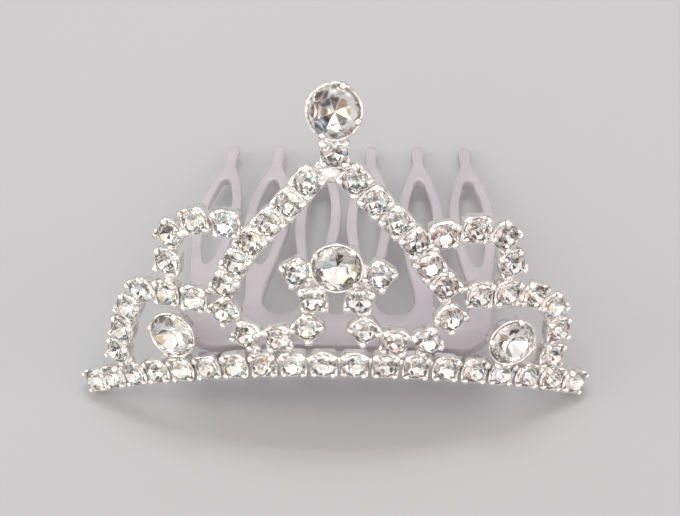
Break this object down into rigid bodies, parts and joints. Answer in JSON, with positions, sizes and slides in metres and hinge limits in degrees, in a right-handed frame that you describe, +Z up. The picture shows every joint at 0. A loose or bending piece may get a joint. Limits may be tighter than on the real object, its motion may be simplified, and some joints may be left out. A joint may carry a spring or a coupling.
{
  "type": "rhinestone tiara on a hair comb",
  "caption": "Small silver tiara of stone-set cup chain, bent in a shallow arc, with a tall round stone on top and a frosted clear comb glued behind it.",
  "frame": {"origin": "middle of the footprint, on the surface that the tiara lies on", "axes": "+X to the right along the band, +Y to the back, where the comb's teeth point, +Z up"},
  "size_m": [0.0712, 0.046, 0.044],
  "materials": {
    "silver_metal": "bright silver plating, slightly uneven",
    "clear_stone": "clear faceted glass with a mirrored back",
    "comb_plastic": "frosted translucent plastic with a soft gloss",
    "clear_glue": "clear hardened glue"
  },
  "bodies": {
    "root": {"comb": "comb_plastic", "frame": "silver_metal", "glue_bead": "clear_glue", "top_stone": "clear_stone", "centre_stone": "clear_stone", "left_stone": "clear_stone", "right_stone": "clear_stone", "neck_stone": "clear_stone", "band_stones_left": "clear_stone", "band_stones_right": "clear_stone", "slope_stones_left": "clear_stone", "slope_stones_right": "clear_stone", "upper_stones_left": "clear_stone", "upper_stones_right": "clear_stone", "lower_stones_left": "clear_stone", "lower_stones_right": "clear_stone", "inner_stones_left": "clear_stone", "inner_stones_right": "clear_stone"}
  },
  "joints": []
}
